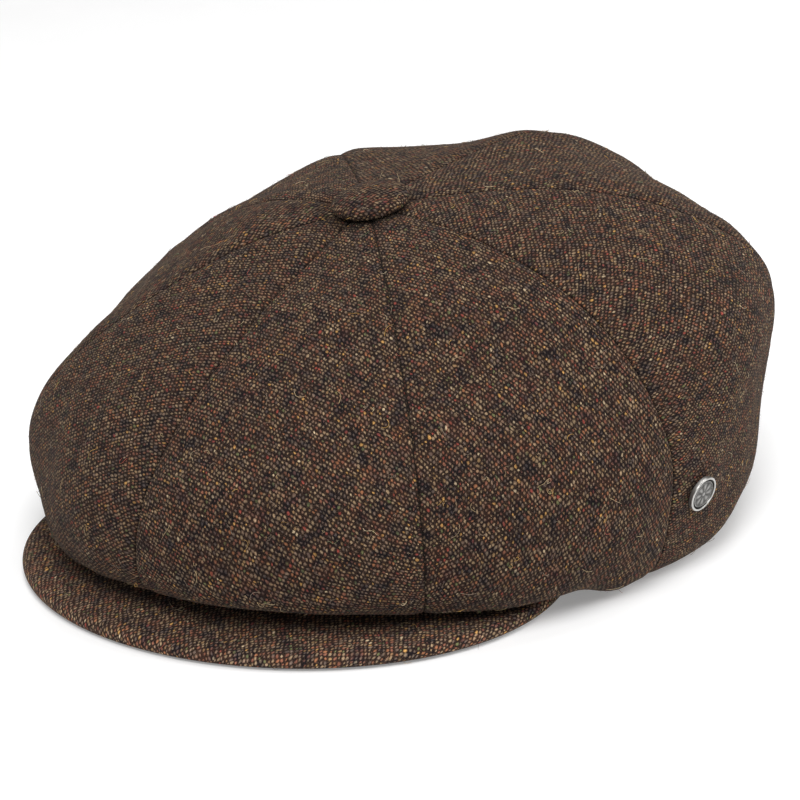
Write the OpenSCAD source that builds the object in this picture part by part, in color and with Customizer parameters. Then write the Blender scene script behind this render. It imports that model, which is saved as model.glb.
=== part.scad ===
// Eight-panel newsboy cap: panelled crown on a headband, stiff peak, covered button, side badge and lining.
// Millimetres. +Z is up and the front of the cap faces -Y, so +X is the wearer's left.
// The origin is the centre of the head opening, on the plane that the headband stands on.

/* [Head opening] */
// Girth of the head opening, inside the sweatband
head_girth = 575; // [540:5:610]
// Length of the head opening divided by its width
head_ratio = 1.22; // [1.15:0.01:1.30]
// Height of the outer headband at the sides and back
band_h = 27; // [20:1:32]
// Height of the sweatband
sweat_h = 31; // [26:1:36]

/* [Crown] */
// How far the button sits in front of the middle of the opening
button_fwd = 14; // [4:1:20]
// Height of the crown seams where they meet under the button
apex_h = 118; // [100:1:130]
// Reach of the crown from the button axis: front, sides, back
crown_reach = [132, 125, 155]; // [115:1:170]
// Height of the widest line of the crown: front, sides, back
widest_h = [28, 43, 74]; // [15:1:85]
// Depth control of the underfold, which turns back up to the band: front, sides, back
fold_h = [12, -8, 12]; // [-12:1:20]
// Least depth control of the underfold where it lies on the peak
fold_on_peak = 4; // [2:0.5:12]
// How straight the wall rises above the widest line: front, sides, back
wall_rise = [0.54, 0.44, 0.70]; // [0.2:0.02:0.8]
// How far out the top stays flat: front, sides, back
top_spread = [0.26, 0.62, 0.56]; // [0.2:0.02:0.8]
// How far the top swells above the button seat: front, sides, back
top_swell = [-6, 4, 17]; // [-10:1:20]
// Puff of each panel between its seams
panel_puff = 2.4; // [0:0.2:5]
// Slouch to the wearer's left: extra reach, extra height of the widest line, extra swell
slouch = [2.8, 2.6, 3.4]; // [0:0.2:8]

/* [Peak] */
// Half width of the peak at its widest
peak_half_w = 104; // [90:1:108]
// Distance of the widest line of the peak in front of the middle of the opening
peak_mid = 64; // [62:1:80]
// Reach of the peak in front of its widest line
peak_reach = 86; // [70:1:95]
// Sweep of the edge curve to each side of the front
peak_sweep = 111; // [100:1:118]
// Height of the top of the peak where it meets the band: centre, ends
peak_root_h = [15.5, 6.6]; // [5:0.5:22]
// Height of the top of the peak along its outer edge: centre, sides
peak_edge_h = [5.2, 6.4]; // [5.0:0.1:14]

/* [Cloth] */
// Thickness of the tweed with its fused backing
cloth_t = 1.6; // [1.0:0.1:2.0]
// Thickness of the stiff board inside the peak
board_t = 1.8; // [1.2:0.1:2.5]
// Thickness of the sweatband
sweat_t = 1.2; // [0.8:0.1:1.6]
// Thickness of the satin lining
lining_t = 0.5; // [0.3:0.1:0.8]
// Space between the crown and the lining
lining_gap = 4; // [2:0.5:8]
// Gap left between neighbouring pieces
gap = 0.3; // [0.2:0.05:0.5]

/* [Button and badge] */
// Diameter of the covered button
button_d = 28; // [22:1:32]
// Height of the covered button
button_h = 7.2; // [6:0.2:9]
// Diameter of the badge
badge_d = 13; // [10:0.5:16]
// Thickness of the badge
badge_t = 1.8; // [1.2:0.1:2.5]
// How far the button is sewn to the wearer's left of the point where the seams meet
button_side = 2; // [0:0.5:2.5]
// Direction of the badge from the front, towards the wearer's left
badge_dir = 96; // [96:1:129]
// Position of the badge on the side wall, from 0 at the band seam to 1 at the widest line
badge_up = 0.9; // [0.7:0.01:1]

/* [Hidden] */
$fn = 96;
PANELS = 8;
STEP_A = 360 / PANELS;
// Grid of each crown panel: columns across, rows in the underfold, rows up to the button
COLS = 8;
FOLD_ROWS = 7;
TOP_ROWS = 15;
// Radius of the open centre where the seams meet under the button
apex_r = 4.5;
// Grid of the peak: columns across, rows from the root to the outer edge
PEAK_COLS = 36;
PEAK_ROWS = [0, 0.3, 0.62, 0.93, 1];
// Whole thickness of the peak, and the oval angle at which its root ends
peak_t = 2 * cloth_t + board_t + gap;
root_end = 66;
// Oval angle at which the rise of the band's lower edge over the peak ends
arch_end = 72;
// Where the lining meets the inside of the crown: front, sides, back
LINING_T = [0.34, 0.10, 0.06];
// Height of the button's rim above its seat
button_lift = 1.4;
badge_post_r = 0.8;

head_b = head_girth / (PI * (3 * (head_ratio + 1) - sqrt((3 * head_ratio + 1) * (head_ratio + 3))));
head_a = head_b * head_ratio;
lining_off = sweat_t + 2 * gap;
band_off = lining_off + lining_t + 2 * gap;
shell_off = band_off + cloth_t;
peak_off = shell_off + gap;

TWEED = [0.31, 0.24, 0.20];
TWEED_DARK = [0.26, 0.20, 0.17];
SATIN = [0.24, 0.17, 0.13];
COTTON = [0.10, 0.09, 0.09];
STEEL = [0.62, 0.62, 0.60];
SILVER = [0.50, 0.49, 0.47];
BOARD = [0.75, 0.72, 0.66];
LABEL = [0.55, 0.45, 0.30];

// The panels in order from the front centre seam towards the wearer's left
PANEL_NAMES = ["front_left", "side_front_left", "side_back_left", "back_left",
               "back_right", "side_back_right", "side_front_right", "front_right"];

// Blends a [front, sides, back] triple around the cap; a is the direction from the front
function around(v, a) =
    (v[0] + 2 * v[1] + v[2]) / 4 + (v[0] - v[2]) / 2 * cos(a) + (v[0] - 2 * v[1] + v[2]) / 4 * cos(2 * a);

function bezier(p, t) =
    pow(1 - t, 3) * p[0] + 3 * pow(1 - t, 2) * t * p[1] + 3 * (1 - t) * t * t * p[2] + pow(t, 3) * p[3];
function bezier_dir(p, t) =
    pow(1 - t, 2) * (p[1] - p[0]) + 2 * (1 - t) * t * (p[2] - p[1]) + t * t * (p[3] - p[2]);
function unit(v) = v / norm(v);

// Point of the head oval grown by off, at oval angle q from the front
function oval(off, q) = [(head_b + off) * sin(q), -(head_a + off) * cos(q)];

// Distance from the button axis to the head oval grown by off, in direction a
function oval_reach(off, a) =
    let (
        p = sin(a) / (head_b + off),
        q = cos(a) / (head_a + off),
        m = p * p + q * q,
        n = 2 * button_fwd * cos(a) / pow(head_a + off, 2),
        k = pow(button_fwd / (head_a + off), 2) - 1
    )
    (-n + sqrt(n * n - 4 * m * k)) / (2 * m);

// Puff across a panel: 0 on the seams, which lie at whole steps from the front, and 1 in the middle
function puff(a) =
    let (u = 1 - 2 * abs(a / STEP_A - round(a / STEP_A)))
    pow(1 - u * u, 0.8);

function reach(a) = around(crown_reach, a) + slouch[0] * sin(a) + panel_puff * puff(a);
function widest(a) = around(widest_h, a) + slouch[1] * sin(a);
function fold(a) =
    let (f = around(fold_h, a), w = min(1, max(0, (84 - abs(a > 180 ? a - 360 : a)) / 14)))
    f + max(0, fold_on_peak - f) * w * w * (3 - 2 * w);
function swell(a) = around(top_swell, a) + slouch[2] * sin(a) + panel_puff * puff(a) * 0.5;

// Control points of the crown's section in direction a, as [distance from the button axis, height]
function fold_curve(a) =
    let (r0 = oval_reach(peak_off, a), r = reach(a), z = fold(a))
    [[r0, band_h + gap], [r0 + 0.35 * (r - r0), z], [r, z], [r, widest(a)]];
function top_curve(a) =
    let (r = reach(a), z = widest(a))
    [[r, z], [r, z + around(wall_rise, a) * (apex_h - z)],
     [around(top_spread, a) * r, apex_h + swell(a)], [0, apex_h]];

// Places a section point in space, after moving it inwards by depth
function on_crown(curve, t, depth, a) =
    let (
        d = unit(bezier_dir(curve, t)),
        p = bezier(curve, t) + depth * [-d[1], d[0]]
    )
    [p[0] * sin(a), -p[0] * cos(a) - button_fwd, p[1]];

// Last parameter of the top curve, where it reaches the radius r around the button axis
function top_end(a, r) = 1 - r / (3 * around(top_spread, a) * reach(a));

// One column of the crown, from the band seam up to the button, at a depth under its surface
function crown_column(a, depth) = concat(
    [for (j = [0 : FOLD_ROWS - 1]) on_crown(fold_curve(a), j / FOLD_ROWS, depth, a)],
    [for (j = [0 : TOP_ROWS]) on_crown(top_curve(a), j / TOP_ROWS * top_end(a, apex_r), depth, a)]
);

// One column of the lining: up inside the band, then out to the crown and along its inside
function lining_column(a, depth) =
    let (
        r0 = oval_reach(lining_off + lining_t, a),
        t1 = around(LINING_T, a),
        inset = cloth_t + lining_gap,
        d1 = unit(bezier_dir(top_curve(a), t1)),
        p1 = bezier(top_curve(a), t1) + inset * [-d1[1], d1[0]],
        k = (p1[0] - r0) * 0.5 + 4,
        side = [[r0, band_h + 2], [r0, band_h + 9], p1 - k * d1, p1]
    )
    concat(
        [on_crown([for (z = [0 : 3]) [r0, band_h - 8 + z]], 0, depth, a)],
        [for (j = [0 : 5]) on_crown(side, j / 6, depth, a)],
        [for (j = [0 : 9]) on_crown(top_curve(a), t1 + j / 9 * (top_end(a, 9) - t1), inset + depth, a)]
    );

// Shifts a column along the cap by s, so that neighbours keep a gap
function shifted(column, a, s) = [for (p = column) p + s * [cos(a), sin(a), 0]];

function sheet_faces(m, n) =
    let (
        w = n + 1,
        k = (m + 1) * w,
        quad = function (a, b, c, d) [[a, b, c], [a, c, d]]
    )
    concat(
        [for (i = [0 : m - 1], j = [0 : n - 1])
            each quad(i * w + j, i * w + j + 1, (i + 1) * w + j + 1, (i + 1) * w + j)],
        [for (i = [0 : m - 1], j = [0 : n - 1])
            each quad(k + i * w + j, k + (i + 1) * w + j, k + (i + 1) * w + j + 1, k + i * w + j + 1)],
        [for (i = [0 : m - 1]) each quad(i * w, (i + 1) * w, k + (i + 1) * w, k + i * w)],
        [for (i = [0 : m - 1]) each quad(i * w + n, k + i * w + n, k + (i + 1) * w + n, (i + 1) * w + n)],
        [for (j = [0 : n - 1]) each quad(j, k + j, k + j + 1, j + 1)],
        [for (j = [0 : n - 1]) each quad(m * w + j, m * w + j + 1, k + m * w + j + 1, k + m * w + j)]
    );

// A closed solid between two grids of points; each grid is a list of columns
module sheet(outer, inner) {
    points = concat([for (c = outer) each c], [for (c = inner) each c]);
    polyhedron(points, sheet_faces(len(outer) - 1, len(outer[0]) - 1), convexity = 6);
}

module crown_panel(k) {
    angles = [for (i = [0 : COLS]) (k + i / COLS) * STEP_A];
    sheet(
        [for (i = [0 : COLS]) shifted(crown_column(angles[i], 0), angles[i], gap * (0.5 - i / COLS))],
        [for (i = [0 : COLS]) shifted(crown_column(angles[i], cloth_t), angles[i], gap * (0.5 - i / COLS))]
    );
}

module lining_gore(k) {
    angles = [for (i = [0 : COLS]) (k + i / COLS) * STEP_A];
    color(SATIN) sheet(
        [for (i = [0 : COLS]) shifted(lining_column(angles[i], 0), angles[i], gap * (0.5 - i / COLS))],
        [for (i = [0 : COLS]) shifted(lining_column(angles[i], lining_t), angles[i], gap * (0.5 - i / COLS))]
    );
}

// Height of the band's lower edge at oval angle q: flat, and arched over the peak's root
function root_top(q) =
    let (middle = pow(max(0, cos(q * 90 / arch_end)), 1.5))
    peak_root_h[1] + (peak_root_h[0] - peak_root_h[1]) * middle;
function arch(q) = abs(q) < arch_end ? max(0, root_top(q) - peak_t) * min(1, (arch_end - abs(q)) / 6) : 0;

// A strip around the head oval, open by one gap at the centre back
module strip(off, t, lift, top, n = 72) {
    edge = asin(gap / 2 / head_b);
    angles = [for (i = [0 : n]) -180 + edge + i / n * (360 - 2 * edge)];
    sheet(
        [for (q = angles) [for (z = [arch(q) + lift, top]) [each oval(off + t, q), z]]],
        [for (q = angles) [for (z = [arch(q) + lift, top]) [each oval(off, q), z]]]
    );
}

module headband() {
    color(TWEED_DARK) strip(band_off, cloth_t, 0, band_h);
}

module sweatband() {
    color(COTTON) strip(0, sweat_t, 0.5, sweat_h);
}

// Peak: a point of its top surface; s runs from 0 at the root to 1 at the outer edge
function peak_point(v, s) =
    let (
        q = v * root_end,
        h = v * peak_sweep,
        e = [peak_half_w * sin(h), -peak_mid - peak_reach * cos(h),
             peak_edge_h[0] + (peak_edge_h[1] - peak_edge_h[0]) * min(1, pow(h / 100, 2))],
        r = [each oval(peak_off, q), root_top(q)]
    )
    r + s * (e - r);

// A grid of points of the peak at a depth below its top surface; rim is the depth on the outer edge
function peak_grid(depth, rim, rows) =
    [for (i = [0 : PEAK_COLS]) [for (j = [0 : len(rows) - 1])
        peak_point(1 - i / PEAK_COLS * 2, rows[j]) - [0, 0, j == len(rows) - 1 ? rim : depth]]];

// A layer of the peak between two depths; the rim depths apply on the outer edge
module peak_layer(top, bottom, rim_top, rim_bottom, rows) {
    sheet(peak_grid(top, rim_top, rows), peak_grid(bottom, rim_bottom, rows));
}

peak_l1 = cloth_t;
peak_l2 = cloth_t + gap / 2;
peak_l3 = cloth_t + gap / 2 + board_t;
peak_l4 = cloth_t + gap + board_t;

module peak_top_cover() {
    color(TWEED) peak_layer(0, peak_l1, 0.7, peak_t / 2 - gap / 4, PEAK_ROWS);
}

module peak_board() {
    color(BOARD) peak_layer(peak_l2, peak_l3, peak_l2, peak_l3, [0.02, 0.32, 0.62, 0.88]);
}

module peak_under_cover() {
    color(TWEED_DARK) peak_layer(peak_l4, peak_t, peak_t / 2 + gap / 4, peak_t - 0.7, PEAK_ROWS);
}

// Tilt of the button's seat: how steeply the crown leaves the button in direction a
function seat_slope(a) = swell(a) / (around(top_spread, a) * reach(a));
seat = unit([seat_slope(90) - seat_slope(270), seat_slope(180) - seat_slope(0), -2]) * -1;

// Turns +Z onto the unit vector v and moves to p
module aim(p, v) {
    turn = acos(v[2]);
    translate(p) rotate([0, turn, atan2(v[1], v[0])]) children();
}

module on_seat() {
    aim([button_side, -button_fwd, apex_h - button_side * seat[0] / seat[2]], seat) children();
}

// Half section of the button, a low dome with a rolled edge, shrunk all round by inset
module button_section(inset) {
    r = button_d / 2;
    roll = 1.9;
    dome = button_h - button_lift - 2 * roll;
    span = r - roll;
    big = (span * span + dome * dome) / (2 * dome) + roll;
    intersection() {
        translate([0, button_lift + inset]) square([r, button_h]);
        union() {
            intersection() {
                translate([0, button_h - big]) circle(big - inset, $fn = 360);
                translate([0, button_lift + roll]) square([span, button_h]);
            }
            translate([0, button_lift + inset]) square([span, roll - inset]);
            translate([span, button_lift + roll]) circle(roll - inset);
        }
    }
}

// A shell of the button between two insets, open underneath inside open_r
module button_skin(from, to, open_r) {
    on_seat() rotate_extrude() difference() {
        button_section(from);
        button_section(to);
        translate([0, button_lift - 1]) square([open_r, to + 1.01]);
    }
}

module button_cover() {
    color(TWEED) button_skin(0, 1.0, button_d / 2 - 5);
}

module button_shell() {
    color(STEEL) button_skin(1.15, 1.65, button_d / 2 - 4);
}

module button_back() {
    color(STEEL) on_seat() {
        translate([0, 0, button_lift + 0.4]) cylinder(r = button_d / 2 - 5.5, h = 0.8);
        translate([0, 0, -3.6]) cylinder(r = 1.4, h = button_lift + 4.4);
    }
}

module button_anchor() {
    color(COTTON) on_seat() translate([0, 0, -3.4]) difference() {
        cylinder(r = 6, h = 1);
        translate([0, 0, -1]) cylinder(r = 1.5, h = 3);
    }
}

module woven_label() {
    angles = [for (i = [0 : 8]) 180 + (i / 8 - 0.5) * 28];
    rows = [for (j = [0 : 4]) 0.55 + j / 4 * 0.2];
    d = cloth_t + lining_gap + lining_t + 3 * gap;
    color(LABEL) sheet(
        [for (a = angles) [for (t = rows) on_crown(top_curve(a), t, d, a)]],
        [for (a = angles) [for (t = rows) on_crown(top_curve(a), t, d + 0.5, a)]]
    );
}

module size_tab() {
    angles = [for (i = [0 : 3]) 156 + i / 3 * 8];
    color(LABEL) sheet(
        [for (q = angles) [for (z = [sweat_h - 12, sweat_h + 8]) [each oval(-gap, q), z]]],
        [for (q = angles) [for (z = [sweat_h - 12, sweat_h + 8]) [each oval(-gap - 0.6, q), z]]]
    );
}

// The badge's seat on the wearer's left panel: its point and outward direction
badge_p = on_crown(fold_curve(badge_dir), badge_up, 0, badge_dir);
badge_tan = unit(bezier_dir(fold_curve(badge_dir), badge_up));
badge_across = unit(on_crown(fold_curve(badge_dir + 1), badge_up, 0, badge_dir + 1)
                    - on_crown(fold_curve(badge_dir - 1), badge_up, 0, badge_dir - 1));
badge_rise = [badge_tan[0] * sin(badge_dir), -badge_tan[0] * cos(badge_dir), badge_tan[1]];
badge_n = unit(cross(badge_across, badge_rise));

module on_badge() {
    aim(badge_p, badge_n) children();
}

module badge() {
    r = badge_d / 2;
    petals = 8;
    color(SILVER) on_badge() {
        translate([0, 0, 0.6]) difference() {
            cylinder(r = r, h = badge_t);
            translate([0, 0, badge_t - 0.5]) difference() {
                cylinder(r = r - 0.7, h = 1);
                translate([0, 0, -1]) cylinder(r = r - 1.5, h = 3);
            }
            for (i = [0 : petals - 1])
                rotate(i * 360 / petals)
                    translate([r * 0.38, 0, badge_t - 0.3]) cylinder(r = r * 0.15, h = 1);
        }
        translate([0, 0, -5]) cylinder(r = badge_post_r, h = 6);
    }
}

module badge_clutch() {
    color(STEEL) on_badge() translate([0, 0, -cloth_t - 1.8]) difference() {
        cylinder(r = 3.5, h = 1);
        translate([0, 0, -1]) cylinder(r = badge_post_r + 0.1, h = 3);
    }
}

module badge_hole() {
    on_badge() translate([0, 0, -8]) cylinder(r = badge_post_r + 0.3, h = 16);
}

module crown_piece(k) {
    color(TWEED) if (k == 2) difference() {
        crown_panel(k);
        badge_hole();
    } else crown_panel(k);
}

for (k = [0 : PANELS - 1]) crown_piece(k);
button_cover();
button_shell();
button_back();
button_anchor();
headband();
peak_top_cover();
peak_board();
peak_under_cover();
sweatband();
for (k = [0 : PANELS - 1]) lining_gore(k);
woven_label();
size_tab();
badge();
badge_clutch();
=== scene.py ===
"""Visual model of the newsboy cap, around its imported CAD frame.

Lengths are millimetres until a mesh is made."""

import math

import bmesh
import bpy
import numpy as np
from mathutils import Matrix, Vector
from mathutils.bvhtree import BVHTree


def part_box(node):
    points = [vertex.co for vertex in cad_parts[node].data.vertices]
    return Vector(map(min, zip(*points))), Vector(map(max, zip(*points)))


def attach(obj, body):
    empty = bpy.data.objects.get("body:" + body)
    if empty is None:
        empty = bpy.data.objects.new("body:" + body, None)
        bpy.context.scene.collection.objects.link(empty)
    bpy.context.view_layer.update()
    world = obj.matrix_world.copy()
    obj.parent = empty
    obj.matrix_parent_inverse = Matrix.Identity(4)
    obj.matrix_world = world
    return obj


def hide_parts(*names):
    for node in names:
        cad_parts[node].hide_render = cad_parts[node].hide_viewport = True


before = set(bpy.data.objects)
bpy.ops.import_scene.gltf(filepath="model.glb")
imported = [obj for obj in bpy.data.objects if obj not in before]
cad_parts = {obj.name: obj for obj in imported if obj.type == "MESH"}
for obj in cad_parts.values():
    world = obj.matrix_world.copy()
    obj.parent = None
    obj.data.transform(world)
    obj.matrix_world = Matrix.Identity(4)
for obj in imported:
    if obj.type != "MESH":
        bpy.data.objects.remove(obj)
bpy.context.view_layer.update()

MM = 0.001
SEED = 20

# ---------------------------------------------------------------- sizes, as in part.scad
GAP = 0.3
CLOTH_T, BOARD_T, SWEAT_T, LINING_T, LINING_GAP = 1.6, 1.8, 1.2, 0.5, 4.0
LINING_OFF = SWEAT_T + 2 * GAP
BAND_OFF = LINING_OFF + LINING_T + 2 * GAP
SHELL_OFF = BAND_OFF + CLOTH_T
PEAK_OFF = SHELL_OFF + GAP
PEAK_T = 2 * CLOTH_T + BOARD_T + GAP


def box_mm(node):
    lo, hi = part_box(node)
    return np.array(lo) / MM, np.array(hi) / MM


BAND_H = box_mm("headband")[1][2]
SWEAT_H = box_mm("sweatband")[1][2]
HEAD_B = box_mm("sweatband")[1][0] - SWEAT_T
HEAD_A = box_mm("sweatband")[1][1] - SWEAT_T
BUTTON_FWD, APEX_H, BUTTON_SIDE = 14.0, 118.0, 2.0
CROWN_REACH, WIDEST_H, FOLD_H = (132, 125, 155), (28, 43, 74), (12, -8, 12)
WALL_RISE, TOP_SPREAD, TOP_SWELL = (0.54, 0.44, 0.70), (0.26, 0.62, 0.56), (-6, 4, 17)
FOLD_ON_PEAK, PANEL_PUFF, SLOUCH = 4.0, 2.4, (2.8, 2.6, 3.4)
PEAK_HALF_W, PEAK_MID, PEAK_REACH, PEAK_SWEEP = 103.0, 64.0, 87.5, 111.0
PEAK_ROOT_H, PEAK_EDGE_H, ROOT_END, ARCH_END = (15.5, 6.6), (5.2, 6.4), 66.0, 72.0
BUTTON_D, BUTTON_H, BUTTON_LIFT, BUTTON_ROLL = 28.0, 7.2, 1.4, 1.9
BADGE_D, BADGE_T, BADGE_DIR, BADGE_UP = 13.0, 1.8, 96.0, 0.9
LINING_TS = (0.34, 0.10, 0.06)
APEX_R = 4.5
STEP_A = 45.0
PANELS = ["front_left", "side_front_left", "side_back_left", "back_left",
          "back_right", "side_back_right", "side_front_right", "front_right"]


# ---------------------------------------------------------------- the crown's surface
def sind(a):
    return np.sin(np.radians(a))


def cosd(a):
    return np.cos(np.radians(a))


def around(v, a):
    """A value that goes smoothly round the cap through v: at the front, at both sides and at the back."""
    mean, lean, oblong = (v[0] + 2 * v[1] + v[2]) / 4, (v[0] - v[2]) / 2, (v[0] - 2 * v[1] + v[2]) / 4
    return mean + lean * cosd(a) + oblong * cosd(2 * a)


def oval_reach(off, a):
    p, q = sind(a) / (HEAD_B + off), cosd(a) / (HEAD_A + off)
    m = p * p + q * q
    n = 2 * BUTTON_FWD * cosd(a) / (HEAD_A + off) ** 2
    k = (BUTTON_FWD / (HEAD_A + off)) ** 2 - 1
    return (-n + np.sqrt(n * n - 4 * m * k)) / (2 * m)


def oval(off, q):
    return (HEAD_B + off) * sind(q), -(HEAD_A + off) * cosd(q)


def puff(a):
    u = 1 - 2 * np.abs(a / STEP_A - np.round(a / STEP_A))
    return (1 - u * u) ** 0.8


def reach(a):
    return around(CROWN_REACH, a) + SLOUCH[0] * sind(a) + PANEL_PUFF * puff(a)


def widest(a):
    return around(WIDEST_H, a) + SLOUCH[1] * sind(a)


def swell(a):
    return around(TOP_SWELL, a) + SLOUCH[2] * sind(a) + PANEL_PUFF * puff(a) * 0.5


def fold(a):
    f = around(FOLD_H, a)
    back = np.where(a > 180, a - 360, a)
    w = np.clip((84 - np.abs(back)) / 14, 0, 1)
    return f + np.maximum(0, FOLD_ON_PEAK - f) * w * w * (3 - 2 * w)


def stack(*rows):
    return [np.stack(np.broadcast_arrays(*r), -1).astype(float) for r in rows]


def fold_curve(a):
    r0, r, z = oval_reach(PEAK_OFF, a), reach(a), fold(a)
    return stack((r0, BAND_H + GAP), (r0 + 0.35 * (r - r0), z), (r, z), (r, widest(a)))


def top_curve(a):
    r, z = reach(a), widest(a)
    return stack((r, z), (r, z + around(WALL_RISE, a) * (APEX_H - z)),
                 (around(TOP_SPREAD, a) * r, APEX_H + swell(a)), (0 * r, APEX_H))


def bezier(p, t):
    t = np.asarray(t, float)[..., None]
    return (1 - t) ** 3 * p[0] + 3 * (1 - t) ** 2 * t * p[1] + 3 * (1 - t) * t * t * p[2] + t ** 3 * p[3]


def bezier_dir(p, t):
    t = np.asarray(t, float)[..., None]
    d = (1 - t) ** 2 * (p[1] - p[0]) + 2 * (1 - t) * t * (p[2] - p[1]) + t * t * (p[3] - p[2])
    return d / np.maximum(np.linalg.norm(d, axis=-1, keepdims=True), 1e-9)


def top_end(a, r):
    return 1 - r / (3 * around(TOP_SPREAD, a) * reach(a))


def section(a, w):
    """Points and tangents in [distance from the button axis, height].

    w is 0 at the band seam, 1 at the widest line and 2 under the button."""
    a, w = np.broadcast_arrays(np.asarray(a, float), np.asarray(w, float))
    low = w[..., None] <= 1
    tf, tt = np.clip(w, 0, 1), np.clip(w - 1, 0, 1) * top_end(a, APEX_R)
    f, t = fold_curve(a), top_curve(a)
    return np.where(low, bezier(f, tf), bezier(t, tt)), np.where(low, bezier_dir(f, tf), bezier_dir(t, tt))


def spin(rz, a):
    """Section points turned to direction a from the front."""
    return np.stack([rz[..., 0] * sind(a), -rz[..., 0] * cosd(a) - BUTTON_FWD, rz[..., 1]], -1)


def spin_normal(d, a):
    return np.stack([d[..., 1] * sind(a), -d[..., 1] * cosd(a), -d[..., 0]], -1)


# ---------------------------------------------------------------- soft shape: seams, dents and bulges
def wander(p, waves, seed):
    """A smooth field of about -1 to 1 over space; waves are wavelengths."""
    rng = np.random.default_rng(seed)
    out = np.zeros(p.shape[:-1])
    for length in waves:
        k = rng.normal(size=3)
        k *= 2 * math.pi / length / np.linalg.norm(k)
        out += np.sin(p @ k + rng.uniform(0, 2 * math.pi))
    return out / math.sqrt(len(waves) / 2) / 1.6


# How far the slumped cloth stands out from the plain crown (in, where negative), in mm. Each row is one
# height along the section, as w in section(), and runs round from the front. The numbers of SLUMP and RIDGE
# were fitted to the cap's outline by a separate program.
SLUMP_STEP, SLUMP_WIDE, SLUMP_TALL = 22.5, (20.0, 34.0), 0.24
SLUMP = {
    0.55: (1.5, -2.4, -2.1, 3.9, -1.2, 2.9, -0.7, -0.4, 0, 0, 0, 0, 0, -0.1, -0.9, 0.6),
    0.95: (1.7, -0.7, -0.1, 0.9, 0.6, -3.6, -2.2, -0.5, -0.4, 0, 0, 0, -0.1, 0.3, -2.2, -3.8),
    1.25: (0, 0, 0, -0.1, -0.3, 2.0, 1.0, -6.0, 1.7, -0.4, 0.5, -0.8, -1.1, -2.8, 1.4, 0.4),
    1.55: (-0.2, -0.3, -0.2, -0.2, -0.7, 0.1, -0.5, -1.1, 0.2, -4.0, 1.9, -3.6, -0.4, -0.8, 0.2, 0),
    1.82: (-0.5, -0.6, -0.4, -0.1, 0, 0, 0.2, 0, -1.7, -0.6, 0.4, -1.1, 0.9, 1.0, 0.6, 0)}
# The same for the eight seams only: they stand as soft ridges where the cloth between them falls in.
RIDGE_WIDE, RIDGE_TALL = (8.0, 17.0), 0.22
RIDGE = {1.2: (0, 0, 0.1, 4.4, 5.1, 0.1, 0.1, 3.7), 1.6: (-0.5, 0, -0.3, 0.8, 5.0, 0.6, 0.1, 0.9)}
# The cloth is this much fuller than the plain crown everywhere
FULL = 0.6


def slump(a, w):
    """The slump at direction a and height w. A dent is as many degrees wide, and never under its mm."""
    out = np.zeros(np.broadcast(a, w).shape)
    r = np.maximum(section(a, w)[0][..., 0], 4)
    for table, step, wide, tall in ((SLUMP, SLUMP_STEP, SLUMP_WIDE, SLUMP_TALL),
                                    (RIDGE, STEP_A, RIDGE_WIDE, RIDGE_TALL)):
        half = np.maximum(wide[0], np.degrees(wide[1] / r))
        for height, row in table.items():
            for i, far in enumerate(row):
                turn = (a - i * step + 180) % 360 - 180
                out += far * np.exp(-(turn / half) ** 2 - ((w - height) / tall) ** 2)
    return out


def valley(d, near):
    """Depth of a seam at a distance d: the rolled edge, the hollow it pulls in and its allowance's step."""
    roll, hollow_wide = 0.6, 3.2
    allowance, allowance_edge, allowance_step = 6.0, 2.5, 0.22
    inside = np.clip(1 - d / roll, 0, 1)
    step = np.clip((d - allowance) / allowance_edge, 0, 1)
    edge = roll * (1 - np.sqrt(1 - inside ** 2 * 0.98))
    return edge + near * np.exp(-d / hollow_wide) + allowance_step * step * step * (3 - 2 * step)


# ---------------------------------------------------------------- meshes
def add_mesh(name, verts, faces, attributes=None, sharp=55):
    me = bpy.data.meshes.new(name)
    me.from_pydata((np.asarray(verts) * MM).tolist(), [], faces)
    for key, values in (attributes or {}).items():
        values = np.asarray(values, np.float32)
        kind, slot = ("FLOAT_VECTOR", "vector") if values.ndim == 2 else ("FLOAT", "value")
        me.attributes.new(key, kind, "POINT").data.foreach_set(slot, values.ravel())
    bm = bmesh.new()
    bm.from_mesh(me)
    bmesh.ops.recalc_face_normals(bm, faces=bm.faces)
    limit = math.radians(sharp)
    for e in bm.edges:
        e.smooth = len(e.link_faces) != 2 or e.calc_face_angle(0) < limit
    for f in bm.faces:
        f.smooth = True
    bm.to_mesh(me)
    bm.free()
    me.validate()
    ob = bpy.data.objects.new(name, me)
    bpy.context.scene.collection.objects.link(ob)
    return ob


def sheet_faces(m, n):
    """Faces of the closed solid between two grids of m by n points."""
    k = m * n
    i, j = np.meshgrid(np.arange(m - 1), np.arange(n - 1), indexing="ij")
    a = (i * n + j).ravel()
    quads = [np.stack([a, a + 1, a + n + 1, a + n], 1),
             np.stack([a + k, a + n + k, a + n + 1 + k, a + 1 + k], 1)]
    rim = np.concatenate([np.arange(n), n - 1 + n * np.arange(1, m), (m - 1) * n + np.arange(n - 2, -1, -1),
                          n * np.arange(m - 2, 0, -1)])
    nxt = np.roll(rim, -1)
    quads.append(np.stack([rim, rim + k, nxt + k, nxt], 1))
    return np.concatenate(quads).tolist()


def add_sheet(name, outer, inner, weave, seam=None, sharp=55, painted_shading=None):
    m, n = outer.shape[:2]
    verts = np.concatenate([outer.reshape(-1, 3), inner.reshape(-1, 3)])
    attributes = {"weave": np.concatenate([weave.reshape(-1, 3)] * 2)}
    if seam is not None:
        attributes["seam"] = np.concatenate([seam.ravel()] * 2)
    # painted shade or painted light for the tweed's colour
    if painted_shading is not None:
        attributes["painted_shading"] = np.concatenate([painted_shading.ravel()] * 2)
    return add_mesh(name, verts, sheet_faces(m, n), attributes, sharp)


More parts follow.
